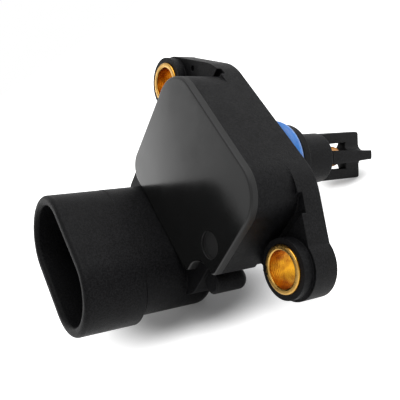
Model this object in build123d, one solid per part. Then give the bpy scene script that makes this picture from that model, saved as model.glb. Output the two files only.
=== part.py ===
from build123d import *
import math
import os

# Manifold pressure and air temperature sensor with a two-bolt flange.
# Millimetres. Origin: probe axis on the back face of the flange. +Z runs away from the
# manifold towards the mating plug, X runs through the two bolt bushes, -Y holds the socket.

# Flange and bolt ears
bolt_pitch = 48.6
flange_thickness = 4.75
flange_width = 24.2
flange_left_corner_x = -12.2
flange_right_corner_x = 11.85
flange_corner_radius = 10.0
flange_left_neck_radius = 5.5
flange_right_neck_radius = 5.05
flange_web_inset = 0.1
left_ear_radius = 5.55
right_ear_radius = 5.85
boss_radius = 5.28
boss_rise = 1.9
flange_core_depth = 2.4
flange_core_wall = 2.0
right_trench_start = 16.9
right_trench_end = 19.9
left_trench_start = -13.75
left_trench_end = -12.05
trench_depth = 0.95
pin_mark_x = -20.4
pin_mark_y = 6.9
pin_mark_radius = 0.6
pin_mark_depth = 0.5

# Brass bushes that carry the bolt load
bush_outer_radius = 4.25
bush_inner_radius = 3.25
bush_stand = 0.4
bush_chamfer = 0.3

# Electronics box on the flange
box_left = 15.8
box_right = 18.2
box_socket_side = 15.4
box_height = 7.55
box_corner_radius = 4.0
box_back_left_radius = 7.0
box_back_right_radius = 6.5
box_wall = 2.3
box_floor = 0.85
post_x = 16.5
post_y = -13.3
post_radius = 2.1
post_length = 7.15
post_drop = 0.65
notch_radius = 4.3
notch_blend = 1.5

# Cover and the bead of sealant under it
cover_thickness = 1.35
cover_edge_radius = 0.45
cover_rim_depth = 1.1
cover_rim_thickness = 1.0
cover_rim_gap = 0.15
seal_width = 0.9
seal_depth = 0.8
gate_mark_x = 13.8
gate_mark_y = -5.0
gate_mark_radius = 2.5
gate_mark_depth = 0.6

# Plug socket
socket_middle_x = -0.35
socket_half_straight = 5.95
socket_outer_radius = 8.9
socket_wall = 2.0
socket_mouth = 33.0
socket_depth = 15.5
collar_length = 13.2
collar_ramp = 1.2
neck_drop = 2.0
neck_foot_radius = 2.5
mouth_fillet = 0.85
key_count = 2
key_pitch = 7.0
key_width = 1.2
key_height = 0.9
key_setback = 8.0
saddle_right = 14.8
saddle_drop = 7.1
saddle_corner_radius = 5.0
saddle_left_radius = 2.0
saddle_step = 0.3

# Terminals
terminal_count = 4
terminal_pitch = 3.5
terminal_width = 1.5
terminal_thickness = 0.8
terminal_reach = 9.0
terminal_run_height = 1.5
terminal_tail_inset = 5.8
terminal_tail_width = 0.9
terminal_tail_root = 0.3
terminal_tail_rise = 0.8
terminal_bend = 0.8
terminal_point = 0.25

# Probe
shoulder_radius = 7.13
shoulder_length = 4.9
groove_width = 3.6
groove_radius = 4.8
lip_thickness = 2.0
lip_edge = 0.3
stem_radius = 5.12
stem_length = 18.4
stem_edge = 0.5
port_radius = 1.0
o_ring_section = 3.2

# Cage round the temperature bead
cage_length = 11.6
cage_radius = 5.0
cage_turn = 44.0
fin_root = 2.85
fin_tip = 1.85
fin_blend = 1.4
cage_tip_edge = 0.6
cage_hollow_radius = 3.0
cage_hollow_length = 7.6
cage_cone_height = 1.2

# Temperature bead and its leads
bead_radius = 1.85
bead_half_length = 2.1
bead_drop = 2.3
lead_radius = 0.25
lead_spread = 3.7
lead_root = 1.5
lead_jog_low = 1.4
lead_jog_high = 3.6
lead_bend = 0.4
lead_seal_radius = 0.6
lead_seal_depth = 1.2

# Pressure cell
cell_length = 7.4
cell_width = 6.0
cell_height = 2.8
cell_wall = 0.8
cell_floor = 0.9
cell_lid_thickness = 0.3
cell_tube_radius = 1.8
cell_tube_bore = 0.7
cell_tube_length = 1.4
cell_seal_radius = 2.9
cell_seal_depth = 1.2
cell_seal_height = 1.0
pedestal_size = 1.6
pedestal_height = 0.5
die_height = 0.35
cell_pin_radius = 0.25
cell_pin_inset = 0.45
cell_pin_depth = 0.7
cell_pin_rise = 0.3

# Circuit board and what it carries
board_thickness = 1.2
board_gap = 0.6
board_stand = 3.3
pillar_radius = 1.6
pillar_pin_radius = 0.6
pillar_pin_rise = 0.5
pillar_inset = 5.2
chip_x = -8.0
chip_gap = 0.5
chip_length = 5.0
chip_width = 4.0
chip_height = 1.5
chip_leg_count = 4
chip_leg_pitch = 1.27
chip_leg_width = 0.45
chip_leg_reach = 1.0
chip_leg_thickness = 0.3
part_length = 2.0
part_width = 1.25
capacitor_height = 1.0
resistor_height = 0.5
capacitor_places = ((-8.5, -5.5), (0.0, -5.5), (7.5, -5.5))
resistor_places = ((8.4, 3.6), (8.4, 0.6))
solder_radius = 0.85
solder_height = 0.5

# Heights and places that follow from the sizes above
floor_z = flange_thickness + box_floor
seam_z = flange_thickness + box_height
boss_z = flange_thickness + boss_rise
bush_length = boss_z + bush_stand
board_z = floor_z + board_stand
board_top_z = board_z + board_thickness
socket_y = -box_socket_side - socket_outer_radius
socket_left_x = socket_middle_x - socket_half_straight
socket_right_x = socket_middle_x + socket_half_straight
socket_floor_z = socket_mouth - socket_depth
collar_z = socket_mouth - collar_length
step_z = collar_z + collar_ramp
neck_radius = socket_outer_radius - neck_drop / 2
neck_y = -box_socket_side - neck_radius
neck_left_x = socket_left_x - neck_drop / 4
lip_top_z = -shoulder_length - groove_width
lip_bottom_z = lip_top_z - lip_thickness
cage_tip_z = -stem_length - cage_length
bead_z = -stem_length - bead_drop
cell_bottom_z = board_z - cell_height
counterbore_z = floor_z - cell_seal_depth
run_z = floor_z + terminal_run_height
tail_y = -box_socket_side + terminal_tail_inset
pillar_back_y = flange_width / 2 - pillar_inset
chip_y = pillar_back_y - pillar_radius - chip_gap - chip_leg_reach - chip_width / 2
terminal_xs = [
    socket_middle_x + terminal_pitch * (index - (terminal_count - 1) / 2)
    for index in range(terminal_count)
]
lead_xs = {"left": -lead_spread, "right": lead_spread}


def prism(sketch, bottom, top):
    """The sketch pulled up from one height to another."""
    return Pos(0, 0, bottom) * extrude(sketch, top - bottom)


def rod(x, y, radius, bottom, top):
    """Upright round rod."""
    return prism(Pos(x, y) * Circle(radius), bottom, top)


def rounded_rectangle(left, right, front, back, radius):
    """A rectangle from its four sides, with round corners."""
    middle = Pos((left + right) / 2, (front + back) / 2)
    return middle * RectangleRounded(right - left, back - front, radius)


def rims_at(body, radius, low, high):
    """Round edges of one radius between two heights."""
    rims = body.edges().filter_by(GeomType.CIRCLE)
    return [e for e in rims if abs(e.radius - radius) < 0.01 and low < e.center().Z < high]


def box_outline(inset=0.0):
    """Outline of the electronics box, scooped out round the post at one corner."""
    middle = Pos((box_right - box_left) / 2, (flange_width / 2 - box_socket_side) / 2)
    outline = middle * Rectangle(box_left + box_right, flange_width / 2 + box_socket_side)
    outline = fillet(outline.vertices().group_by(Axis.Y)[0], box_corner_radius)
    outline = fillet(outline.vertices().sort_by(Axis.Y)[-2:].sort_by(Axis.X)[0], box_back_left_radius)
    outline = fillet(outline.vertices().filter_by(
        lambda v: v.X > box_right - 0.01 and v.Y > flange_width / 2 - 0.01), box_back_right_radius)
    outline -= Pos(post_x, post_y) * Circle(notch_radius)
    tips = outline.vertices().filter_by(
        lambda v: abs(math.hypot(v.X - post_x, v.Y - post_y) - notch_radius) < 0.01)
    outline = fillet(tips, notch_blend)
    if inset:
        outline = offset(outline, -inset)
    return outline


def flange_outline():
    """Plate drawn tight round the web, two shoulders and the bolts, with a round ear at each."""
    left_bolt = Pos(-bolt_pitch / 2, 0)
    right_bolt = Pos(bolt_pitch / 2, 0)
    shoulder_y = flange_width / 2 - flange_corner_radius
    rounds = [
        Circle(flange_width / 2 - flange_web_inset),
        left_bolt * Circle(flange_left_neck_radius),
        right_bolt * Circle(flange_right_neck_radius),
        Pos(flange_left_corner_x, shoulder_y) * Circle(flange_corner_radius),
        Pos(flange_right_corner_x, shoulder_y) * Circle(flange_corner_radius),
    ]
    outline = make_hull([edge for sketch in rounds for edge in sketch.edges()])
    return outline + left_bolt * Circle(left_ear_radius) + right_bolt * Circle(right_ear_radius)


def trenches():
    """Two shallow trenches across the flange, beside the corners of the box."""
    spans = ((left_trench_start, left_trench_end), (right_trench_start, right_trench_end))
    sketch = Sketch() + [
        Pos((start + end) / 2, 0) * Rectangle(end - start, flange_width + 2) for start, end in spans]
    return prism(sketch - box_outline(), flange_thickness - trench_depth, flange_thickness)


def flange_cores():
    """Four shallow hollows in the back of the flange, between its rim and its ribs."""
    hollow = offset(flange_outline(), -flange_core_wall)
    hollow -= Circle(shoulder_radius + flange_core_wall)
    for side in (-1, 1):
        hollow -= Pos(side * bolt_pitch / 2, 0) * Circle(boss_radius)
    hollow -= Rectangle(bolt_pitch, flange_core_wall)
    hollow -= Rectangle(flange_core_wall, flange_width)
    return prism(hollow, 0, flange_core_depth)


def stadium(radius, y, left_x, right_x):
    """Slot outline along X between two end centres."""
    middle = Pos((left_x + right_x) / 2, y)
    return middle * SlotCenterToCenter(right_x - left_x, 2 * radius)


def collar_outline(inset=0.0):
    """Outline of the socket's collar, or of what lies a given distance inside it."""
    return stadium(socket_outer_radius - inset, socket_y, socket_left_x, socket_right_x)


def neck_outline(inset=0.0):
    """Outline of the neck, flush with the collar on the cover side and at the left end."""
    return stadium(neck_radius - inset, neck_y, neck_left_x, socket_right_x)


def socket_body():
    """Collar at the mouth, the slimmer neck behind it and the saddle that joins the box."""
    neck = prism(neck_outline(), flange_thickness, step_z)
    neck = fillet(neck.edges().group_by(Axis.Z)[0], neck_foot_radius)
    collar = prism(collar_outline(), collar_z, socket_mouth)
    collar = chamfer(collar.edges().group_by(Axis.Z)[0], collar_ramp)
    collar -= prism(collar_outline(socket_wall), step_z, socket_mouth)
    collar = fillet(collar.edges().group_by(Axis.Z)[-1], min(mouth_fillet, socket_wall * 0.48))
    front = -box_socket_side - saddle_drop
    back = -box_socket_side + 2 * saddle_corner_radius
    saddle_sketch = rounded_rectangle(-box_left, saddle_right, front, back, saddle_corner_radius)
    saddle_sketch += rounded_rectangle(-box_left, 0, front, back, saddle_left_radius)
    saddle = prism(saddle_sketch, flange_thickness, seam_z - saddle_step)
    return neck + collar + saddle


def socket_hollow():
    """Space that the plug goes into, narrower in the neck than in the collar."""
    hollow = prism(neck_outline(socket_wall), socket_floor_z, step_z)
    return hollow + prism(collar_outline(socket_wall), step_z, socket_mouth)


def keys():
    """Short ribs on the far wall of the socket that let in one pattern of plug only."""
    far_wall_y = socket_y - socket_outer_radius + socket_wall
    for index in range(key_count):
        x = socket_middle_x + key_pitch * (index - (key_count - 1) / 2)
        sketch = Pos(x, far_wall_y) * Rectangle(key_width, 2 * key_height)
        yield prism(sketch, step_z, socket_mouth - key_setback)


def post():
    """Round post in the scooped corner of the box, with a domed foot."""
    bottom = flange_thickness - post_drop
    body = rod(post_x, post_y, post_radius, bottom, bottom + post_length)
    body = fillet(body.edges().group_by(Axis.Z)[0], post_radius * 0.6)
    return chamfer(body.edges().group_by(Axis.Z)[-1], lip_edge)


def stem():
    """Probe turned about Z: shoulder, seal groove, retaining lip and stem."""
    profile = Polyline(
        (0, 0), (shoulder_radius, 0), (shoulder_radius, -shoulder_length),
        (groove_radius, -shoulder_length), (groove_radius, lip_top_z),
        (shoulder_radius, lip_top_z), (shoulder_radius, lip_bottom_z),
        (stem_radius, lip_bottom_z), (stem_radius, -stem_length), (0, -stem_length), close=True)
    turned = revolve(Plane.XZ * make_face(profile), Axis.Z)
    turned = chamfer(rims_at(turned, shoulder_radius, lip_bottom_z - 0.1, lip_top_z + 0.1), lip_edge)
    return fillet(rims_at(turned, stem_radius, -stem_length - 0.1, -stem_length + 0.1), stem_edge)


def cage():
    """Four tapered fins in a cross, hollow round the bead and joined at the tip."""
    side_view = Polygon(
        (-fin_root / 2, -stem_length), (fin_root / 2, -stem_length),
        (fin_tip / 2, cage_tip_z), (-fin_tip / 2, cage_tip_z), align=None)
    bar = extrude(Plane.XZ * side_view, cage_radius + 1, both=True)
    cross = bar + Rot(0, 0, 90) * bar
    roots = [e for e in cross.edges()
             if abs(e.tangent_at(0.5).Z) > 0.9
             and math.hypot(e.center().X, e.center().Y) < fin_root]
    cross = fillet(roots, fin_blend)
    envelope = rod(0, 0, cage_radius, cage_tip_z, -stem_length)
    envelope = fillet(envelope.edges().group_by(Axis.Z)[0], cage_tip_edge)
    hollow_end = -stem_length - cage_hollow_length
    profile = Polyline(
        (0, -stem_length), (cage_hollow_radius, -stem_length), (cage_hollow_radius, hollow_end),
        (0, hollow_end + cage_cone_height), close=True)
    hollow = revolve(Plane.XZ * make_face(profile), Axis.Z)
    return Rot(0, 0, cage_turn) * ((cross & envelope) - hollow)


def pillar_places():
    """Centres of the four pillars under the circuit board."""
    left = -box_left + pillar_inset
    right = box_right - pillar_inset
    front = -box_socket_side + pillar_inset
    return [(left, front), (left, pillar_back_y), (right, pillar_back_y), (right, front + notch_radius)]


def pillars():
    """Pillars that carry the board, each with a pin through it."""
    for x, y in pillar_places():
        yield rod(x, y, pillar_radius, floor_z, board_z)
        yield rod(x, y, pillar_pin_radius, board_z, board_top_z + pillar_pin_rise)


def seal_ring():
    """Closed bead that runs round in the top of the box wall."""
    middle = box_wall / 2
    ring = box_outline(middle - seal_width / 2) - box_outline(middle + seal_width / 2)
    return prism(ring, seam_z - seal_depth, seam_z)


def terminal(x):
    """Blade in the socket, run through the wall and slimmer tail up through the board."""
    path = FilletPolyline(
        (tail_y, board_z - terminal_tail_root), (tail_y, run_z), (socket_y, run_z),
        (socket_y, socket_floor_z + terminal_reach), radius=terminal_bend)
    strip = trace(path, terminal_thickness)
    body = extrude(Plane.YZ * strip, terminal_width / 2, both=True)
    body = chamfer(body.faces().sort_by(Axis.Z)[-1].edges(), terminal_point)
    tail = Pos(0, tail_y) * Rectangle(terminal_tail_width, terminal_thickness)
    body += prism(tail, board_z - terminal_tail_root, board_top_z + terminal_tail_rise)
    return Pos(x, 0, 0) * body


def bush(x):
    """Brass tube with a chamfer on each rim."""
    body = rod(x, 0, bush_outer_radius, 0, bush_length) - rod(x, 0, bush_inner_radius, 0, bush_length)
    return chamfer(rims_at(body, bush_inner_radius, -1, bush_length + 1), bush_chamfer)


def o_ring():
    """Seal that sits on the groove floor against the lip."""
    section = o_ring_section / 2
    return Pos(0, 0, lip_top_z + section) * Torus(groove_radius + section, section)


def cover():
    """Lid with a soft edge, a rim that drops inside the box wall and a round gate mark."""
    plate = prism(box_outline(), seam_z, seam_z + cover_thickness)
    plate = fillet(plate.edges().group_by(Axis.Z)[-1], cover_edge_radius)
    rim_inset = box_wall + cover_rim_gap
    rim = box_outline(rim_inset) - box_outline(rim_inset + cover_rim_thickness)
    plate += prism(rim, seam_z - cover_rim_depth, seam_z)
    top = seam_z + cover_thickness
    return plate - rod(gate_mark_x, gate_mark_y, gate_mark_radius, top - gate_mark_depth, top)


def thermistor_lead(x):
    """Wire from the bead into the stem, outwards round the port and up through the board."""
    root_x = math.copysign(lead_root, x)
    top = board_top_z + solder_height
    path = FilletPolyline(
        (root_x, 0, bead_z), (root_x, 0, -stem_length + lead_jog_low),
        (x, 0, -stem_length + lead_jog_high), (x, 0, top), radius=lead_bend)
    start = Plane(origin=path @ 0, z_dir=path % 0)
    return sweep(start * Circle(lead_radius), path=path)


def thermistor_bead(leads):
    """Epoxy bead, longer than it is wide, moulded round the lead ends."""
    half = Ellipse(bead_radius, bead_half_length) & Pos(bead_radius, 0) * Rectangle(
        2 * bead_radius, 2 * bead_half_length)
    bead = Pos(0, 0, bead_z) * revolve(Plane.XZ * half, Axis.Z)
    for lead in leads:
        bead -= lead
    return bead


def lead_seal(x, lead):
    """Plug of sealant round a lead where it leaves the box floor."""
    return rod(x, 0, lead_seal_radius, floor_z - lead_seal_depth, floor_z) - lead


def cell_pins():
    """Four pins from the top corners of the pressure cell through the board."""
    x = cell_width / 2 - cell_pin_inset
    y = cell_length / 2 - cell_pin_inset
    for pin_x, pin_y in ((-x, -y), (x, -y), (-x, y), (x, y)):
        yield rod(pin_x, pin_y, cell_pin_radius, board_z - cell_pin_depth, board_top_z + cell_pin_rise)


def cell_cavity(bottom):
    """Room for the die inside the pressure cell, up to the board."""
    sketch = Rectangle(cell_width - 2 * cell_wall, cell_length - 3 * cell_wall)
    return prism(sketch, bottom, board_z)


def cell_body(pins):
    """Moulded cup over the port, with a tube down into the housing."""
    body = prism(Rectangle(cell_width, cell_length), cell_bottom_z, board_z)
    body = chamfer(body.edges().filter_by(Axis.Z), cell_pin_inset / 2)
    body += rod(0, 0, cell_tube_radius, cell_bottom_z - cell_tube_length, cell_bottom_z)
    body -= cell_cavity(cell_bottom_z + cell_floor)
    body -= rod(0, 0, cell_tube_bore, cell_bottom_z - cell_tube_length, board_z)
    for pin in pins:
        body -= pin
    return body


def pedestal_place():
    """Centre of the glass pedestal, beside the port and clear of it."""
    return 0, cell_tube_bore + pedestal_size / 2 + 0.1


def square_block(size, bottom, top):
    """Small square block on the pedestal's place."""
    x, y = pedestal_place()
    return prism(Pos(x, y) * Rectangle(size, size), bottom, top)


def amplifier_chip():
    """Flat package under the board with a row of bent legs along each long side."""
    bottom = board_z - chip_height - chip_leg_thickness
    body = prism(Pos(chip_x, chip_y) * Rectangle(chip_length, chip_width), bottom, board_z - chip_leg_thickness)
    body = chamfer(body.edges().group_by(Axis.Z)[0], chip_leg_thickness)
    leg_z = board_z - chip_height / 2
    for side in (-1, 1):
        wall_y = chip_y + side * chip_width / 2
        tip_y = wall_y + side * chip_leg_reach
        for index in range(chip_leg_count):
            x = chip_x + chip_leg_pitch * (index - (chip_leg_count - 1) / 2)
            path = Polyline(
                (wall_y - side * 0.2, leg_z), (wall_y + side * chip_leg_reach / 2, leg_z),
                (wall_y + side * chip_leg_reach / 2, board_z - chip_leg_thickness / 2),
                (tip_y, board_z - chip_leg_thickness / 2))
            leg = extrude(Plane.YZ * trace(path, chip_leg_thickness), chip_leg_width / 2, both=True)
            body += Pos(x, 0, 0) * leg
    return body


def board_part(x, y, height):
    """Small oblong part standing on the board."""
    body = prism(Pos(x, y) * Rectangle(part_length, part_width), board_top_z, board_top_z + height)
    return chamfer(body.edges().group_by(Axis.Z)[-1], 0.1)


def solder(x, y, through):
    """Cone of solder on the board round what comes up through it."""
    cone = Pos(x, y, board_top_z + solder_height / 2) * Cone(solder_radius, solder_radius * 0.6, solder_height)
    return cone - through


def circuit_board(through):
    """Board that follows the box wall, drilled for all that passes through it."""
    board = prism(box_outline(box_wall + board_gap), board_z, board_top_z)
    for x, y in pillar_places():
        board -= rod(x, y, pillar_pin_radius, board_z, board_top_z)
    for piece in through:
        board -= piece
    return board


def housing(buried):
    """The one black moulding, cut back round the pieces that are moulded or pressed into it."""
    body = prism(flange_outline(), 0, flange_thickness)
    body -= trenches()
    body -= rod(pin_mark_x, pin_mark_y, pin_mark_radius, flange_thickness - pin_mark_depth, flange_thickness)
    for side in (-1, 1):
        x = side * bolt_pitch / 2
        body += rod(x, 0, boss_radius, flange_thickness - trench_depth, boss_z)
    body += prism(box_outline(), flange_thickness, seam_z)
    body += socket_body()
    body += post()
    body -= flange_cores()
    body += stem()
    body += cage()
    body -= prism(box_outline(box_wall), floor_z, seam_z)
    for pillar in pillars():
        body += pillar
    body -= socket_hollow()
    for key in keys():
        body += key
    body -= rod(0, 0, port_radius, -stem_length - 1, floor_z)
    body -= rod(0, 0, cell_seal_radius, counterbore_z, floor_z)
    for side in (-1, 1):
        x = side * bolt_pitch / 2
        body -= rod(x, 0, bush_outer_radius, 0, boss_z)
    for piece in buried:
        body -= piece
    return body


terminals = [terminal(x) for x in terminal_xs]
leads = {side: thermistor_lead(x) for side, x in lead_xs.items()}
lead_seals = {side: lead_seal(x, leads[side]) for side, x in lead_xs.items()}
pins = list(cell_pins())
seal = seal_ring()

nodes = {
    "housing": housing([*terminals, *leads.values(), *lead_seals.values(), seal]),
    "cover": cover(),
    "cover_seal": seal,
    "o_ring": o_ring(),
    "circuit_board": circuit_board([*terminals, *leads.values(), *pins]),
    "cell_body": cell_body(pins),
    "cell_lid": cell_cavity(board_z - cell_lid_thickness),
    "glass_pedestal": square_block(
        pedestal_size, cell_bottom_z + cell_floor, cell_bottom_z + cell_floor + pedestal_height),
    "sense_die": square_block(
        pedestal_size, cell_bottom_z + cell_floor + pedestal_height,
        cell_bottom_z + cell_floor + pedestal_height + die_height),
    "cell_seal": rod(0, 0, cell_seal_radius, counterbore_z, counterbore_z + cell_seal_height)
    - rod(0, 0, cell_tube_radius, counterbore_z, floor_z),
    "amplifier_chip": amplifier_chip(),
    "thermistor_bead": thermistor_bead(leads.values()),
}
for side, x in (("left", -bolt_pitch / 2), ("right", bolt_pitch / 2)):
    nodes[f"bush_{side}"] = bush(x)
    nodes[f"thermistor_lead_{side}"] = leads[side]
    nodes[f"lead_seal_{side}"] = lead_seals[side]
    nodes[f"solder_{side}"] = solder(lead_xs[side], 0, leads[side])
for number, piece in enumerate(terminals, 1):
    nodes[f"terminal_{number}"] = piece
    nodes[f"solder_{number}"] = solder(terminal_xs[number - 1], tail_y, piece)
for number, piece in enumerate(pins, 1):
    nodes[f"cell_pin_{number}"] = piece
for number, (x, y) in enumerate(capacitor_places, 1):
    nodes[f"capacitor_{number}"] = board_part(x, y, capacitor_height)
for number, (x, y) in enumerate(resistor_places, 1):
    nodes[f"resistor_{number}"] = board_part(x, y, resistor_height)

os.makedirs("parts", exist_ok=True)
for name, piece in nodes.items():
    export_step(piece, f"parts/{name}.step")
    print(name, round(piece.volume, 2), len(piece.solids()))
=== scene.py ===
import math
import bmesh
import bpy
from mathutils import Matrix, Vector


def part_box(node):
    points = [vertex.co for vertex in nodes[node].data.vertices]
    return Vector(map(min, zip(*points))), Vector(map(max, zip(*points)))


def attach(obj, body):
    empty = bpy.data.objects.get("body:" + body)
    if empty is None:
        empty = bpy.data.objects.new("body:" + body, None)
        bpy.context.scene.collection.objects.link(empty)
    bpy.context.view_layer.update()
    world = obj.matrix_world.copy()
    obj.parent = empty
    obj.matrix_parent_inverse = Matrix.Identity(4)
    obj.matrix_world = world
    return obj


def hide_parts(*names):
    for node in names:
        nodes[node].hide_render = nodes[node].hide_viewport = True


# Manifold pressure and air temperature sensor, dressed piece by piece in the order in which it
# is put together. Lengths are in metres in the part's own frame: the probe axis is Z, the two
# bolts lie along X, and the plug socket is on the -Y side.

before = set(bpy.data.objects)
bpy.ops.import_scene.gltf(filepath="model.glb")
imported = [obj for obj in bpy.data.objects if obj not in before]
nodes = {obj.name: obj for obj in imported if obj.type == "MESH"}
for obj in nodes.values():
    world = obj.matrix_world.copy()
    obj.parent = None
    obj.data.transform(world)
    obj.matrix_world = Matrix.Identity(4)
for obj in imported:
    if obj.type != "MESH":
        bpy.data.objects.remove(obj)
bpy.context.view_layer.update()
MM = 0.001


# Camera
# A short telephoto that looks down on the cover and the socket's mouth, turned so that the
# probe points to the upper right of the picture.
camera_data = bpy.data.cameras.new("camera")
camera_data.lens = 55.154
camera_data.sensor_width = 36.0
camera_data.clip_start = 0.005
camera_data.clip_end = 20.0
camera = bpy.data.objects.new("camera", camera_data)
camera_right = Vector((0.42876, 0.34376, -0.83546))
camera_up = Vector((-0.73375, 0.67201, -0.10005))
camera_back = Vector((0.52705, 0.65592, 0.54037))
camera_place = Vector((63.480, 69.629, 71.860)) * MM
camera_turn = Matrix((camera_right, camera_up, camera_back)).transposed().to_4x4()
camera.matrix_world = Matrix.Translation(camera_place) @ camera_turn
bpy.context.scene.collection.objects.link(camera)
bpy.context.scene.camera = camera
bpy.context.scene.view_settings.view_transform = "Standard"


# Bolt bushes
# A brass tube stands in each ear and carries the bolt's load, so that the plastic isn't crushed.
# It is turned from bar, which leaves fine rings in the bore, and is moulded into the housing.
def put(tree, kind, settings=None, **values):
    """Adds a node, sets what it is told to and joins or fills the sockets that are named."""
    node = tree.nodes.new(kind)
    for key, value in (settings or {}).items():
        setattr(node, key, value)
    for key, value in values.items():
        fill(tree, find(node, key.replace("_", " ")), value)
    return node


def find(node, name):
    """The input socket in use that has that name."""
    for socket in node.inputs:
        if socket.name.lower() == name.lower() and socket.enabled:
            return socket
    raise KeyError(f"{node.bl_idname} has no input named {name}")


def fill(tree, socket, value):
    """Joins another node's output to a socket, or sets the socket's own value."""
    if isinstance(value, bpy.types.Node):
        value = value.outputs[0]
    if isinstance(value, bpy.types.NodeSocket):
        tree.links.new(value, socket)
    else:
        socket.default_value = value


def sums(tree, operation, *values):
    """One step of arithmetic on numbers."""
    node = tree.nodes.new("ShaderNodeMath")
    node.operation = operation
    for socket, value in zip(node.inputs, values):
        fill(tree, socket, value)
    return node.outputs[0]


def vector_sums(tree, operation, first, second=None, scale=None):
    """One step of arithmetic on vectors."""
    node = tree.nodes.new("ShaderNodeVectorMath")
    node.operation = operation
    fill(tree, node.inputs[0], first)
    if second is not None:
        fill(tree, node.inputs[1], second)
    if scale is not None:
        fill(tree, node.inputs["Scale"], scale)
    return node.outputs["Value" if operation in ("LENGTH", "DOT_PRODUCT") else "Vector"]


def finish_tree(name):
    """A new material with one surface shader joined to its output."""
    material = bpy.data.materials.new(name)
    material.use_nodes = True
    tree = material.node_tree
    tree.nodes.clear()
    shader = put(tree, "ShaderNodeBsdfPrincipled")
    put(tree, "ShaderNodeOutputMaterial", Surface=shader)
    return material, tree, shader


def mottle(tree, size, detail=3.0, rough=0.55, stretch=(1, 1, 1)):
    """Noise with blotches of about that size, fixed to the part's own frame."""
    place = put(tree, "ShaderNodeTexCoord")
    mapping = put(tree, "ShaderNodeMapping", Vector=place.outputs["Object"], Scale=stretch)
    texture = put(
        tree, "ShaderNodeTexNoise", Vector=mapping, Scale=1 / size, Detail=detail, Roughness=rough)
    return texture.outputs[0]


def spread(tree, value, low, high, start=0.3, end=0.7):
    """Stretches a mask between two numbers, held at both ends."""
    return put(
        tree, "ShaderNodeMapRange", Value=value, From_Min=start, From_Max=end,
        To_Min=low, To_Max=high).outputs[0]


def blend_colour(tree, mask, low, high):
    """Mixes two colours, or sockets, by a mask."""
    low_colour, high_colour, mixed_colour = 6, 7, 2
    node = put(tree, "ShaderNodeMix", {"data_type": "RGBA"}, Factor=mask)
    for index, colour in ((low_colour, low), (high_colour, high)):
        if not isinstance(colour, bpy.types.NodeSocket):
            colour = (*colour, 1)
        fill(tree, node.inputs[index], colour)
    return node.outputs[mixed_colour]


def soft_edges(tree, radius):
    """The normal with sharp edges rounded off, and a mask that is 1 along those edges."""
    rounded = put(tree, "ShaderNodeBevel", {"samples": 4}, Radius=radius)
    surface = put(tree, "ShaderNodeNewGeometry")
    along = vector_sums(tree, "DOT_PRODUCT", rounded, surface.outputs["Normal"])
    return rounded.outputs[0], spread(tree, along, 1.0, 0.0, start=0.90, end=0.995)


def relief(tree, height, depth, strength=1.0, normal=None):
    """Raised and sunk by the mask, depth metres from its lowest to its highest."""
    bump = put(tree, "ShaderNodeBump", Height=height, Distance=depth, Strength=strength)
    if normal is not None:
        fill(tree, bump.inputs["Normal"], normal)
    return bump.outputs[0]


def shape_tree(name, sizes):
    """A geometry tree with named inputs. Gives back the tree and its inputs by name."""
    group = bpy.data.node_groups.new(name, "GeometryNodeTree")
    group.interface.new_socket("Geometry", in_out="OUTPUT", socket_type="NodeSocketGeometry")
    for label, kind in sizes.items():
        group.interface.new_socket(label, in_out="INPUT", socket_type="NodeSocket" + kind)
    entry = group.nodes.new("NodeGroupInput")
    return group, {label: entry.outputs[label] for label in sizes}


def close_tree(tree, shape, material):
    """Ends a tree: instances made real, and the material put on."""
    real = put(tree, "GeometryNodeRealizeInstances", Geometry=shape)
    dressed = put(tree, "GeometryNodeSetMaterial", Geometry=real, Material=material)
    put(tree, "NodeGroupOutput", Geometry=dressed)


def run_tree(name, tree, values, crease=30):
    """Runs a tree once and keeps the result as a plain mesh at the origin."""
    piece = bpy.data.objects.new(name, bpy.data.meshes.new(name + "_start"))
    bpy.context.scene.collection.objects.link(piece)
    modifier = piece.modifiers.new("shape", "NODES")
    modifier.node_group = tree
    for item in tree.interface.items_tree:
        if item.in_out == "INPUT":
            modifier[item.identifier] = values[item.name]
    bpy.context.view_layer.update()
    depsgraph = bpy.context.evaluated_depsgraph_get()
    mesh = bpy.data.meshes.new_from_object(piece.evaluated_get(depsgraph), depsgraph=depsgraph)
    piece.modifiers.clear()
    mesh.name = name
    piece.data = mesh
    mesh.shade_smooth()
    mesh.set_sharp_from_angle(angle=math.radians(crease))
    return piece


def ring_path(tree, radius, steps):
    """Flat circle round Z whose sections stand upright."""
    circle = put(tree, "GeometryNodeCurvePrimitiveCircle", Radius=radius, Resolution=steps)
    return put(tree, "GeometryNodeSetCurveNormal", {"mode": "Z_UP"}, Curve=circle)


bush_tree, given = shape_tree("turned_bush", {
    "Outer Radius": "Float", "Bore Radius": "Float", "Length": "Float", "Rim": "Float",
    "Ring Pitch": "Float", "Ring Depth": "Float", "Steps": "Int", "Section Steps": "Int",
    "Bore Margin": "Float", "Place": "Vector", "Material": "Material"})
wall = sums(bush_tree, "SUBTRACT", given["Outer Radius"], given["Bore Radius"])
middle = sums(bush_tree, "SUBTRACT", given["Outer Radius"], sums(bush_tree, "MULTIPLY", wall, 0.5))
section = put(
    bush_tree, "GeometryNodeCurvePrimitiveQuadrilateral", Width=wall, Height=given["Length"])
section = put(
    bush_tree, "GeometryNodeFilletCurve", {"mode": "POLY"}, Curve=section, Count=3,
    Radius=given["Rim"])
section = put(bush_tree, "GeometryNodeResampleCurve", Curve=section, Count=given["Section Steps"])
tube = put(
    bush_tree, "GeometryNodeCurveToMesh", Curve=ring_path(bush_tree, middle, given["Steps"]),
    Profile_Curve=section)
place = put(bush_tree, "GeometryNodeInputPosition")
apart = put(bush_tree, "ShaderNodeSeparateXYZ", Vector=place)
flat_place = vector_sums(bush_tree, "MULTIPLY", place, (1, 1, 0))
outwards = vector_sums(bush_tree, "NORMALIZE", flat_place)
reach = vector_sums(bush_tree, "LENGTH", flat_place)
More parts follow.
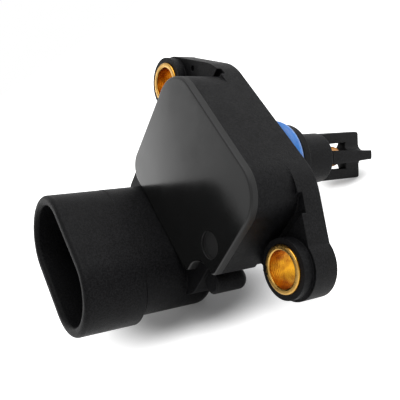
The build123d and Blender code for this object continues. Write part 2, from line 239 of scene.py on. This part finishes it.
bore_limit = sums(bush_tree, "ADD", given["Bore Radius"], given["Bore Margin"])
in_bore = sums(bush_tree, "LESS_THAN", reach, bore_limit)
full_turns = sums(bush_tree, "MULTIPLY", apart.outputs[2], math.tau)
wave = sums(bush_tree, "DIVIDE", full_turns, given["Ring Pitch"])
depth = sums(bush_tree, "MULTIPLY", sums(bush_tree, "SINE", wave), given["Ring Depth"])
tube = put(
    bush_tree, "GeometryNodeSetPosition", Geometry=tube, Selection=in_bore,
    Offset=vector_sums(bush_tree, "SCALE", outwards, scale=depth))
tube = put(bush_tree, "GeometryNodeTransform", Geometry=tube, Translation=given["Place"])
close_tree(bush_tree, tube, given["Material"])

brass, tree, shader = finish_tree("turned_brass")
round_edge, edge = soft_edges(tree, 0.06 * MM)
streaks = mottle(tree, 0.12 * MM, detail=2.0, rough=0.6, stretch=(0.15, 0.15, 1.0))
stain = spread(tree, mottle(tree, 1.6 * MM, detail=4.0), 0.0, 1.0, start=0.42, end=0.72)
# The bore is painted a darker, deeper orange than the rim, picked by which way the surface faces:
# painted shade and painted reflection inside the bore.
bore_tone = blend_colour(tree, stain, (0.58, 0.27, 0.016), (0.27, 0.080, 0.006))
rim_tone = blend_colour(tree, stain, (0.52, 0.31, 0.082), (0.42, 0.235, 0.060))
surface = put(tree, "ShaderNodeNewGeometry")
lie = put(tree, "ShaderNodeSeparateXYZ", Vector=surface.outputs["Normal"])
on_rim = spread(tree, sums(tree, "ABSOLUTE", lie.outputs[2]), 0.0, 1.0, start=0.35, end=0.65)
metal = blend_colour(tree, on_rim, bore_tone, rim_tone)
fill(tree, shader.inputs["Base Color"], blend_colour(tree, edge, metal, (0.58, 0.37, 0.125)))
shader.inputs["Metallic"].default_value = 1.0
fill(tree, shader.inputs["Roughness"], spread(tree, streaks, 0.20, 0.38))
fill(
    tree, shader.inputs["Normal"],
    relief(tree, streaks, 0.010 * MM, strength=0.25, normal=round_edge))

bush_outer_radius = 4.25 * MM
bush_bore_radius = 3.25 * MM
for side in ("left", "right"):
    low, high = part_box("bush_" + side)
    middle_x = (low.x + high.x) / 2
    middle_z = (low.z + high.z) / 2
    bush = run_tree("brass_bush_" + side, bush_tree, {
        "Outer Radius": bush_outer_radius, "Bore Radius": bush_bore_radius,
        "Length": high.z - low.z, "Rim": 0.28 * MM, "Ring Pitch": 0.38 * MM,
        "Ring Depth": 0.005 * MM, "Steps": 112, "Section Steps": 220, "Bore Margin": 0.02 * MM,
        "Place": (middle_x, 0.0, middle_z), "Material": brass})
    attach(bush, "root")
    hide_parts("bush_" + side)


# Terminals
# Four blades stamped from brass strip and tinned, bent up into the plug socket at one end and
# through the circuit board at the other. They are moulded into the housing.
tinned, tree, shader = finish_tree("tinned_blade")
round_edge, edge = soft_edges(tree, 0.10 * MM)
drawn = mottle(tree, 0.09 * MM, detail=3.0, rough=0.6, stretch=(1.0, 1.0, 0.06))
dull = spread(tree, mottle(tree, 1.2 * MM), 0.0, 1.0)
metal = blend_colour(tree, dull, (0.74, 0.71, 0.62), (0.58, 0.56, 0.50))
fill(tree, shader.inputs["Base Color"], blend_colour(tree, edge, metal, (0.80, 0.62, 0.30)))
shader.inputs["Metallic"].default_value = 1.0
fill(tree, shader.inputs["Roughness"], spread(tree, drawn, 0.22, 0.42))
fill(tree, shader.inputs["Normal"], relief(tree, drawn, 0.01 * MM, strength=0.5, normal=round_edge))
for number in range(1, 5):
    nodes[f"terminal_{number}"].data.materials[0] = tinned


# Housing
# One moulding in black glass-filled polyester: flange, electronics box, plug socket, probe and
# cage. Its tool is finely eroded, which leaves an even matt grain, and its edges are polished
# by handling. Their colour is painted lighter too, partly as handling wear and partly as a
# painted highlight.
moulded, tree, shader = finish_tree("moulded_black")
round_edge, edge = soft_edges(tree, 0.22 * MM)
grain = mottle(tree, 0.30 * MM, detail=4.0, rough=0.7)
sheen = mottle(tree, 2.6 * MM, detail=4.0, rough=0.6)
dust = spread(tree, mottle(tree, 0.55 * MM, detail=5.0, rough=0.75), 0.0, 1.0, start=0.62, end=0.78)
speckle = spread(tree, grain, 0.0, 1.0, start=0.40, end=0.62)
skin = blend_colour(tree, speckle, (0.0003, 0.0003, 0.0006), (0.0090, 0.0090, 0.0098))
skin = blend_colour(tree, dust, skin, (0.024, 0.024, 0.025))
# The edges are painted lighter: partly handling wear, partly a painted highlight.
fill(tree, shader.inputs["Base Color"], blend_colour(tree, edge, skin, (0.016, 0.016, 0.017)))
shader.inputs["Specular IOR Level"].default_value = 0.085
matt = spread(tree, sheen, 0.44, 0.54)
edge_polish = sums(tree, "MULTIPLY", edge, 0.10)
fill(tree, shader.inputs["Roughness"], sums(tree, "SUBTRACT", matt, edge_polish))
fill(
    tree, shader.inputs["Normal"],
    relief(tree, grain, 0.090 * MM, strength=0.8, normal=round_edge))
nodes["housing"].data.materials[0] = moulded


# Pressure cell
# A moulded cup over the probe's port, with the silicon die on a glass block inside it, a pressed
# steel lid and four tinned pins. Its tube is bedded in a ring of silicone in the box floor.
cup, tree, shader = finish_tree("cell_plastic")
round_edge, edge = soft_edges(tree, 0.10 * MM)
grain = mottle(tree, 0.10 * MM)
skin = blend_colour(tree, grain, (0.045, 0.045, 0.052), (0.070, 0.070, 0.080))
fill(tree, shader.inputs["Base Color"], blend_colour(tree, edge, skin, (0.11, 0.11, 0.12)))
fill(tree, shader.inputs["Roughness"], spread(tree, grain, 0.34, 0.46))
fill(
    tree, shader.inputs["Normal"],
    relief(tree, grain, 0.010 * MM, strength=0.5, normal=round_edge))
nodes["cell_body"].data.materials[0] = cup

steel, tree, shader = finish_tree("pressed_steel")
round_edge, edge = soft_edges(tree, 0.08 * MM)
brushed = mottle(tree, 0.08 * MM, detail=3.0, rough=0.6, stretch=(0.05, 1.0, 1.0))
shade = blend_colour(tree, brushed, (0.50, 0.50, 0.51), (0.62, 0.62, 0.62))
fill(tree, shader.inputs["Base Color"], blend_colour(tree, edge, shade, (0.78, 0.78, 0.78)))
shader.inputs["Metallic"].default_value = 1.0
fill(tree, shader.inputs["Roughness"], spread(tree, brushed, 0.28, 0.40))
fill(
    tree, shader.inputs["Normal"],
    relief(tree, brushed, 0.004 * MM, strength=0.5, normal=round_edge))
nodes["cell_lid"].data.materials[0] = steel

glass, tree, shader = finish_tree("glass_block")
smoky = mottle(tree, 0.6 * MM)
fill(
    tree, shader.inputs["Base Color"],
    blend_colour(tree, smoky, (0.80, 0.90, 0.86), (0.90, 0.96, 0.93)))
fill(tree, shader.inputs["Roughness"], spread(tree, smoky, 0.03, 0.10))
shader.inputs["Transmission Weight"].default_value = 1.0
shader.inputs["IOR"].default_value = 1.47
fill(
    tree, shader.inputs["Normal"],
    relief(tree, smoky, 0.002 * MM, strength=0.3, normal=soft_edges(tree, 0.05 * MM)[0]))
nodes["glass_pedestal"].data.materials[0] = glass

silicon, tree, shader = finish_tree("silicon_die")
etched = mottle(tree, 0.12 * MM, detail=1.0, rough=0.4)
pads = spread(tree, etched, 0.0, 1.0, start=0.48, end=0.52)
fill(
    tree, shader.inputs["Base Color"],
    blend_colour(tree, pads, (0.17, 0.19, 0.26), (0.29, 0.27, 0.33)))
shader.inputs["Metallic"].default_value = 0.7
fill(tree, shader.inputs["Roughness"], spread(tree, etched, 0.12, 0.22))
fill(
    tree, shader.inputs["Normal"],
    relief(tree, etched, 0.002 * MM, strength=0.4, normal=soft_edges(tree, 0.03 * MM)[0]))
nodes["sense_die"].data.materials[0] = silicon

wire, tree, shader = finish_tree("tinned_wire")
drawn = mottle(tree, 0.06 * MM, detail=3.0, rough=0.6, stretch=(1.0, 1.0, 0.08))
fill(
    tree, shader.inputs["Base Color"],
    blend_colour(tree, drawn, (0.54, 0.53, 0.50), (0.70, 0.69, 0.66)))
shader.inputs["Metallic"].default_value = 1.0
fill(tree, shader.inputs["Roughness"], spread(tree, drawn, 0.22, 0.36))
fill(tree, shader.inputs["Normal"], relief(tree, drawn, 0.004 * MM, strength=0.5))
for number in range(1, 5):
    nodes[f"cell_pin_{number}"].data.materials[0] = wire

silicone, tree, shader = finish_tree("cured_silicone")
ripple = mottle(tree, 0.9 * MM, detail=3.0, rough=0.5)
fill(
    tree, shader.inputs["Base Color"],
    blend_colour(tree, ripple, (0.016, 0.016, 0.017), (0.032, 0.032, 0.034)))
fill(tree, shader.inputs["Roughness"], spread(tree, ripple, 0.38, 0.52))
shader.inputs["Specular IOR Level"].default_value = 0.4
fill(
    tree, shader.inputs["Normal"],
    relief(tree, ripple, 0.05 * MM, strength=0.6, normal=soft_edges(tree, 0.15 * MM)[0]))
nodes["cell_seal"].data.materials[0] = silicone


# Circuit board
# Glass-fibre board with a green mask, held on four pillars. It carries the amplifier chip below
# and small capacitors and resistors above, with plated holes and tracks of tinned copper.
mask, tree, shader = finish_tree("green_board")
weave_place = put(tree, "ShaderNodeTexCoord")
threads = [
    put(
        tree, "ShaderNodeTexWave", {"bands_direction": direction},
        Vector=weave_place.outputs["Object"], Scale=0.5 / MM, Distortion=0.4, Detail=1.0).outputs[1]
    for direction in ("X", "Y")
]
weave = sums(tree, "MAXIMUM", *threads)
cloudy = mottle(tree, 3.0 * MM)
green = blend_colour(tree, cloudy, (0.012, 0.085, 0.032), (0.020, 0.125, 0.050))
on_thread = sums(tree, "MULTIPLY", weave, 0.3)
fill(tree, shader.inputs["Base Color"], blend_colour(tree, on_thread, green, (0.05, 0.21, 0.09)))
fill(tree, shader.inputs["Roughness"], spread(tree, weave, 0.22, 0.34, start=0.0, end=1.0))
fill(
    tree, shader.inputs["Normal"],
    relief(tree, weave, 0.012 * MM, strength=0.4, normal=soft_edges(tree, 0.06 * MM)[0]))
nodes["circuit_board"].data.materials[0] = mask

copper, tree, shader = finish_tree("tinned_copper")
crystals = mottle(tree, 0.12 * MM, detail=3.0)
fill(
    tree, shader.inputs["Base Color"],
    blend_colour(tree, crystals, (0.62, 0.55, 0.44), (0.76, 0.70, 0.60)))
shader.inputs["Metallic"].default_value = 1.0
fill(tree, shader.inputs["Roughness"], spread(tree, crystals, 0.25, 0.42))
fill(tree, shader.inputs["Normal"], relief(tree, crystals, 0.006 * MM, strength=0.5))

via_tree, given = shape_tree("plated_holes", {
    "Columns": "Int", "Rows": "Int", "Pitch": "Float", "Rim Radius": "Float", "Rim Height": "Float",
    "Share Left Out": "Float", "Seed": "Int", "Place": "Vector", "Material": "Material"})
across = sums(via_tree, "MULTIPLY", sums(via_tree, "SUBTRACT", given["Columns"], 1), given["Pitch"])
along = sums(via_tree, "MULTIPLY", sums(via_tree, "SUBTRACT", given["Rows"], 1), given["Pitch"])
field = put(
    via_tree, "GeometryNodeMeshGrid", Size_X=across, Size_Y=along, Vertices_X=given["Columns"],
    Vertices_Y=given["Rows"])
drawn_lots = put(
    via_tree, "FunctionNodeRandomValue", {"data_type": "BOOLEAN"},
    Probability=given["Share Left Out"], Seed=given["Seed"])
kept = put(
    via_tree, "GeometryNodeDeleteGeometry", {"domain": "POINT"}, Geometry=field,
    Selection=drawn_lots.outputs[3])
bead = put(via_tree, "GeometryNodeCurvePrimitiveCircle", Radius=given["Rim Height"], Resolution=8)
rim = put(
    via_tree, "GeometryNodeCurveToMesh", Curve=ring_path(via_tree, given["Rim Radius"], 20),
    Profile_Curve=bead)
holes = put(via_tree, "GeometryNodeInstanceOnPoints", Points=kept, Instance=rim)
holes = put(via_tree, "GeometryNodeTransform", Geometry=holes, Translation=given["Place"])
close_tree(via_tree, holes, given["Material"])

board_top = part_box("circuit_board")[1].z
hole_field_middle = (-8.6 * MM, 1.2 * MM, board_top)
plated = run_tree("plated_holes", via_tree, {
    "Columns": 4, "Rows": 4, "Pitch": 1.3 * MM, "Rim Radius": 0.28 * MM, "Rim Height": 0.05 * MM,
    "Share Left Out": 0.3, "Seed": 4, "Place": hole_field_middle, "Material": copper})
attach(plated, "root")

track_tree, given = shape_tree("board_tracks", {
    "Count": "Int", "Pitch": "Float", "Width": "Float", "Length": "Float", "Thickness": "Float",
    "Place": "Vector", "Material": "Material"})
gaps = sums(track_tree, "SUBTRACT", given["Count"], 1)
row_length = sums(track_tree, "MULTIPLY", gaps, given["Pitch"])
first_x = sums(track_tree, "MULTIPLY", row_length, -0.5)
row_start = put(track_tree, "ShaderNodeCombineXYZ", X=first_x)
step = put(track_tree, "ShaderNodeCombineXYZ", X=given["Pitch"])
row = put(
    track_tree, "GeometryNodeMeshLine", Count=given["Count"], Start_Location=row_start,
    Offset=step)
size = put(
    track_tree, "ShaderNodeCombineXYZ", X=given["Width"], Y=given["Length"], Z=given["Thickness"])
strip = put(track_tree, "GeometryNodeMeshCube", Size=size)
tracks = put(track_tree, "GeometryNodeInstanceOnPoints", Points=row, Instance=strip)
tracks = put(track_tree, "GeometryNodeTransform", Geometry=tracks, Translation=given["Place"])
close_tree(track_tree, tracks, given["Material"])

track_thickness = 0.035 * MM
track_row_middle = (-0.35 * MM, -7.75 * MM, board_top + track_thickness / 2)
track_row = run_tree("board_tracks", track_tree, {
    "Count": 4, "Pitch": 3.5 * MM, "Width": 0.5 * MM, "Length": 1.7 * MM,
    "Thickness": track_thickness, "Place": track_row_middle, "Material": copper})
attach(track_row, "root")

resin, tree, shader = finish_tree("chip_resin")
round_edge, edge = soft_edges(tree, 0.06 * MM)
grit = mottle(tree, 0.07 * MM)
skin = blend_colour(tree, grit, (0.020, 0.020, 0.022), (0.040, 0.040, 0.043))
fill(tree, shader.inputs["Base Color"], blend_colour(tree, edge, skin, (0.08, 0.08, 0.085)))
fill(tree, shader.inputs["Roughness"], spread(tree, grit, 0.55, 0.70))
fill(tree, shader.inputs["Normal"], relief(tree, grit, 0.010 * MM, strength=0.6, normal=round_edge))
for name in ("amplifier_chip", "resistor_1", "resistor_2"):
    nodes[name].data.materials[0] = resin

fired, tree, shader = finish_tree("fired_ceramic")
body_tone = blend_colour(tree, mottle(tree, 0.15 * MM), (0.46, 0.34, 0.21), (0.58, 0.45, 0.30))
fill(tree, shader.inputs["Base Color"], body_tone)
fill(tree, shader.inputs["Roughness"], spread(tree, mottle(tree, 0.10 * MM), 0.42, 0.60))
round_edge = soft_edges(tree, 0.08 * MM)[0]
pores = mottle(tree, 0.08 * MM)
fill(tree, shader.inputs["Normal"], relief(tree, pores, 0.008 * MM, strength=0.5, normal=round_edge))
for number in range(1, 4):
    nodes[f"capacitor_{number}"].data.materials[0] = fired


# Temperature bead and its leads
# A thermistor dipped in amber epoxy hangs in the cage at the probe's tip. Two tinned wires run
# from it through the stem to the board, each sealed with silicone where it leaves the floor.
epoxy, tree, shader = finish_tree("amber_epoxy")
runs = mottle(tree, 1.1 * MM, detail=3.0, rough=0.5, stretch=(1.0, 1.0, 0.5))
amber = blend_colour(tree, spread(tree, runs, 0.0, 1.0), (0.66, 0.30, 0.045), (0.48, 0.17, 0.018))
fill(tree, shader.inputs["Base Color"], amber)
fill(tree, shader.inputs["Roughness"], spread(tree, runs, 0.16, 0.28))
shader.inputs["Coat Weight"].default_value = 0.5
shader.inputs["Coat Roughness"].default_value = 0.08
fill(tree, shader.inputs["Normal"], relief(tree, runs, 0.06 * MM, strength=0.5))

# The drop reaches 1.9 mm further towards the tip than the solid bead, nearer to the photograph.
drop_top = -18.75 * MM
drop_bottom = -24.70 * MM
drop_radius = 2.15 * MM
drop_lean = 0.18
drop_rings = 24
drop_sides = 48
drop_middle = (drop_top + drop_bottom) / 2
drop_half = (drop_top - drop_bottom) / 2
weld_distance = 0.001 * MM
shape = bmesh.new()
outline = []
for ring in range(drop_rings + 1):
    angle = math.pi * ring / drop_rings
    bulge = drop_radius * math.sin(angle) * (1 - drop_lean * math.cos(angle))
    outline.append(shape.verts.new((bulge, 0.0, drop_middle + drop_half * math.cos(angle))))
spine = [shape.edges.new(pair) for pair in zip(outline, outline[1:])]
bmesh.ops.spin(
    shape, geom=outline + spine, axis=(0, 0, 1), cent=(0, 0, 0), angle=math.tau, steps=drop_sides)
bmesh.ops.remove_doubles(shape, verts=shape.verts, dist=weld_distance)
bmesh.ops.recalc_face_normals(shape, faces=shape.faces)
drop_mesh = bpy.data.meshes.new("amber_drop")
shape.to_mesh(drop_mesh)
shape.free()
drop_mesh.shade_smooth()
drop_mesh.materials.append(epoxy)
drop = bpy.data.objects.new("amber_drop", drop_mesh)
bpy.context.scene.collection.objects.link(drop)
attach(drop, "root")
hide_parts("thermistor_bead")

for side in ("left", "right"):
    nodes["thermistor_lead_" + side].data.materials[0] = wire
    nodes["lead_seal_" + side].data.materials[0] = silicone


# Solder joints
# A cone of bright solder holds each terminal and each lead where it comes up through the board.
# It is laid by hand and cools with a faint ripple.
joint, tree, shader = finish_tree("solder")
ripple = mottle(tree, 0.35 * MM, detail=3.0)
fill(
    tree, shader.inputs["Base Color"],
    blend_colour(tree, ripple, (0.60, 0.60, 0.62), (0.76, 0.76, 0.78)))
shader.inputs["Metallic"].default_value = 1.0
fill(tree, shader.inputs["Roughness"], spread(tree, ripple, 0.14, 0.30))
fill(
    tree, shader.inputs["Normal"],
    relief(tree, ripple, 0.02 * MM, strength=0.5, normal=soft_edges(tree, 0.15 * MM)[0]))
for place_name in ("1", "2", "3", "4", "left", "right"):
    nodes["solder_" + place_name].data.materials[0] = joint


# Cover and its seal
# The lid is pressed down on a bead of silicone in the top of the box wall. It is moulded in the
# same black polyester but in a smoother tool, so it is semi-gloss and shows fine rub marks.
nodes["cover_seal"].data.materials[0] = silicone
lid, tree, shader = finish_tree("smooth_black")
round_edge, edge = soft_edges(tree, 0.18 * MM)
orange_peel = mottle(tree, 0.7 * MM, detail=2.0, rough=0.5)
cloudy = mottle(tree, 7.0 * MM, detail=4.0, rough=0.6)
strokes = mottle(tree, 0.25 * MM, detail=4.0, rough=0.7, stretch=(1.0, 0.10, 1.0))
rubbed = spread(tree, strokes, 0.0, 1.0, start=0.56, end=0.74)
skin = blend_colour(tree, cloudy, (0.0085, 0.0088, 0.0088), (0.0135, 0.0138, 0.0136))
skin = blend_colour(tree, sums(tree, "MULTIPLY", rubbed, 0.35), skin, (0.030, 0.030, 0.030))
shader.inputs["Specular IOR Level"].default_value = 0.33
lid_top = max(corner.co.z for corner in nodes["cover"].data.vertices)
lid_place = put(tree, "ShaderNodeTexCoord")
lid_height = put(tree, "ShaderNodeSeparateXYZ", Vector=lid_place.outputs["Object"])
# The lid's sides below its top face are painted almost black as painted shade, and made rougher.
below_top = spread(
    tree, lid_height.outputs["Z"], 1.0, 0.0, start=lid_top - 0.25 * MM, end=lid_top - 0.05 * MM)
skin = blend_colour(tree, below_top, skin, (0.0015, 0.0015, 0.0016))
fill(tree, shader.inputs["Base Color"], blend_colour(tree, edge, skin, (0.006, 0.006, 0.006)))
polish = spread(tree, cloudy, 0.13, 0.19)
polish = sums(tree, "ADD", polish, sums(tree, "MULTIPLY", rubbed, 0.08))
polish = sums(tree, "ADD", polish, sums(tree, "MULTIPLY", below_top, 0.45))
fill(tree, shader.inputs["Roughness"], polish)
fill(
    tree, shader.inputs["Normal"],
    relief(tree, orange_peel, 0.010 * MM, strength=0.25, normal=round_edge))
nodes["cover"].data.materials[0] = lid


# O-ring
# A moulded ring of blue fluorosilicone rolled over the lip into the probe's groove. The two
# halves of its tool leave a thin flash line round the outside, and it is wiped with grease.
ring_tree, given = shape_tree("moulded_ring", {
    "Ring Radius": "Float", "Section Radius": "Float", "Flash Height": "Float",
    "Flash Width": "Float", "Steps": "Int", "Section Steps": "Int", "Place": "Vector",
    "Material": "Material"})
section = put(
    ring_tree, "GeometryNodeCurvePrimitiveCircle", Radius=given["Section Radius"],
    Resolution=given["Section Steps"])
ring = put(
    ring_tree, "GeometryNodeCurveToMesh",
    Curve=ring_path(ring_tree, given["Ring Radius"], given["Steps"]), Profile_Curve=section)
place = put(ring_tree, "GeometryNodeInputPosition")
apart = put(ring_tree, "ShaderNodeSeparateXYZ", Vector=place)
flat_place = vector_sums(ring_tree, "MULTIPLY", place, (1, 1, 0))
outside = sums(
    ring_tree, "GREATER_THAN", vector_sums(ring_tree, "LENGTH", flat_place), given["Ring Radius"])
height = sums(ring_tree, "ABSOLUTE", apart.outputs[2])
height = sums(ring_tree, "DIVIDE", height, given["Flash Width"])
ridge = sums(ring_tree, "MAXIMUM", sums(ring_tree, "SUBTRACT", 1.0, height), 0.0)
ridge = sums(ring_tree, "MULTIPLY", ridge, given["Flash Height"])
outwards = vector_sums(ring_tree, "NORMALIZE", flat_place)
ring = put(
    ring_tree, "GeometryNodeSetPosition", Geometry=ring, Selection=outside,
    Offset=vector_sums(ring_tree, "SCALE", outwards, scale=ridge))
ring = put(ring_tree, "GeometryNodeTransform", Geometry=ring, Translation=given["Place"])
close_tree(ring_tree, ring, given["Material"])

rubber, tree, shader = finish_tree("blue_rubber")
smear = mottle(tree, 1.5 * MM, detail=4.0, rough=0.6)
fine = mottle(tree, 0.12 * MM, detail=2.0, rough=0.5)
wiped = spread(tree, smear, 0.0, 1.0)
blue = blend_colour(tree, wiped, (0.012, 0.130, 0.480), (0.030, 0.215, 0.620))
greasy = sums(tree, "MULTIPLY", fine, 0.25)
fill(tree, shader.inputs["Base Color"], blend_colour(tree, greasy, blue, (0.03, 0.12, 0.45)))
fill(tree, shader.inputs["Roughness"], spread(tree, smear, 0.30, 0.46))
shader.inputs["Specular IOR Level"].default_value = 0.4
shader.inputs["Sheen Weight"].default_value = 0.1
fill(tree, shader.inputs["Normal"], relief(tree, fine, 0.008 * MM, strength=0.5))

low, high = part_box("o_ring")
section_radius = (high.z - low.z) / 2
seal_ring = run_tree("blue_o_ring", ring_tree, {
    "Ring Radius": high.x - section_radius, "Section Radius": section_radius,
    "Flash Height": 0.03 * MM, "Flash Width": 0.16 * MM, "Steps": 160, "Section Steps": 96,
    "Place": (0.0, 0.0, (low.z + high.z) / 2), "Material": rubber}, crease=80)
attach(seal_ring, "root")
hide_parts("o_ring")


# Paper, room and lamps
# The sensor lies on white paper on three points: a cage blade's tip, the flange's edge at the near
# ear and the foot of the socket's neck. Soft light falls from above. The paper glows up to full
# white, painted light that hides the lamps' shadow, except in two ovals under the socket and under
# the probe, where the glow drops and the lamps' shadow shows, so the shade's outline is painted.
floor_down = Vector((0.6207, -0.5736, -0.5344)).normalized()
floor_distance = 20.08 * MM
paper_size = 3.0


def seen_rays(tree):
    """1 for rays from the camera and for mirrored or refracted ones, 0 for other rays."""
    path = put(tree, "ShaderNodeLightPath")
    either = sums(tree, "MAXIMUM", path.outputs["Is Camera Ray"], path.outputs["Is Glossy Ray"])
    return sums(tree, "MAXIMUM", either, path.outputs["Is Transmission Ray"])


def paper_glow_oval(tree, sheet, middle, way, half_length, half_width, least):
    """Painted glow level: 1 on the open sheet, down to the least in an oval given in millimetres."""
    centre = sheet.inverted() @ (Vector(middle) * MM)
    along = sheet.inverted().to_3x3() @ Vector(way)
    place = put(tree, "ShaderNodeTexCoord")
    oval = put(
        tree, "ShaderNodeMapping", {"vector_type": "TEXTURE"}, Vector=place.outputs["Object"],
        Location=(centre.x, centre.y, 0.0), Rotation=(0.0, 0.0, math.atan2(along.y, along.x)),
        Scale=(half_length * MM, half_width * MM, 1.0))
    core = 0.35
    level = put(
        tree, "ShaderNodeMapRange", {"interpolation_type": "SMOOTHSTEP"},
        Value=vector_sums(tree, "LENGTH", oval), From_Min=core, From_Max=1.0, To_Min=least,
        To_Max=1.0)
    return level.outputs[0]


paper = bpy.data.materials.new("white_paper")
paper.use_nodes = True
tree = paper.node_tree
tree.nodes.clear()
fibres = mottle(tree, 0.6 * MM, detail=3.0)
sheet_colour = blend_colour(tree, fibres, (0.80, 0.80, 0.80), (0.83, 0.83, 0.83))
diffuse = put(tree, "ShaderNodeBsdfDiffuse", Color=sheet_colour)
facing_up = (-floor_down).to_track_quat("Z", "Y").to_matrix().to_4x4()
paper_frame = Matrix.Translation(floor_down * floor_distance) @ facing_up
under_socket = paper_glow_oval(
    tree, paper_frame, middle=(10.8, -29.3, 6.3), way=(0.491, 0.816, -0.306),
    half_length=33.0, half_width=16.0, least=0.05)
under_probe = paper_glow_oval(
    tree, paper_frame, middle=(-0.1, -6.8, -30.3), way=(0.671, 0.742, -0.017),
    half_length=11.7, half_width=6.1, least=0.25)
# The paper's glow is painted light; only inside the two ovals does the lamps' shadow show.
glow_level = sums(tree, "MINIMUM", under_socket, under_probe)
glow = put(
    tree, "ShaderNodeEmission", Color=(1, 1, 1, 1),
    Strength=sums(tree, "MULTIPLY", glow_level, seen_rays(tree)))
both = tree.nodes.new("ShaderNodeAddShader")
fill(tree, both.inputs[0], diffuse)
fill(tree, both.inputs[1], glow)
clear = put(tree, "ShaderNodeBsdfTransparent")
turned_away = put(tree, "ShaderNodeNewGeometry")
face = tree.nodes.new("ShaderNodeMixShader")
fill(tree, face.inputs[0], turned_away.outputs["Backfacing"])
fill(tree, face.inputs[1], both)
fill(tree, face.inputs[2], clear)
put(tree, "ShaderNodeOutputMaterial", Surface=face)

paper_mesh = bpy.data.meshes.new("paper")
flat = bmesh.new()
bmesh.ops.create_grid(flat, x_segments=1, y_segments=1, size=paper_size / 2)
flat.to_mesh(paper_mesh)
flat.free()
paper_floor = bpy.data.objects.new("paper", paper_mesh)
paper_mesh.materials.append(paper)
paper_floor.matrix_world = paper_frame
bpy.context.scene.collection.objects.link(paper_floor)

room = bpy.data.worlds.new("white_room")
bpy.context.scene.world = room
room.use_nodes = True
tree = room.node_tree
tree.nodes.clear()
strength = put(tree, "ShaderNodeMapRange", Value=seen_rays(tree), To_Min=0.35, To_Max=1.0)
white = put(tree, "ShaderNodeBackground", Color=(1, 1, 1, 1), Strength=strength)
put(tree, "ShaderNodeOutputWorld", Surface=white)


def softbox(name, direction, distance, size, power):
    """A square soft lamp that faces the middle of the sensor."""
    lamp_data = bpy.data.lights.new(name, "AREA")
    lamp_data.shape = "SQUARE"
    lamp_data.size = size
    lamp_data.energy = power
    lamp = bpy.data.objects.new(name, lamp_data)
    away = Vector(direction).normalized()
    turned = away.to_track_quat("Z", "Y").to_matrix().to_4x4()
    lamp.matrix_world = Matrix.Translation(away * distance) @ turned
    bpy.context.scene.collection.objects.link(lamp)


from_above = -floor_down + 0.60 * camera_right
softbox("lamp_above", from_above, distance=0.60, size=0.60, power=3.6)
softbox("lamp_window", (-0.690, -0.650, 0.370), distance=0.50, size=0.16, power=0.18)
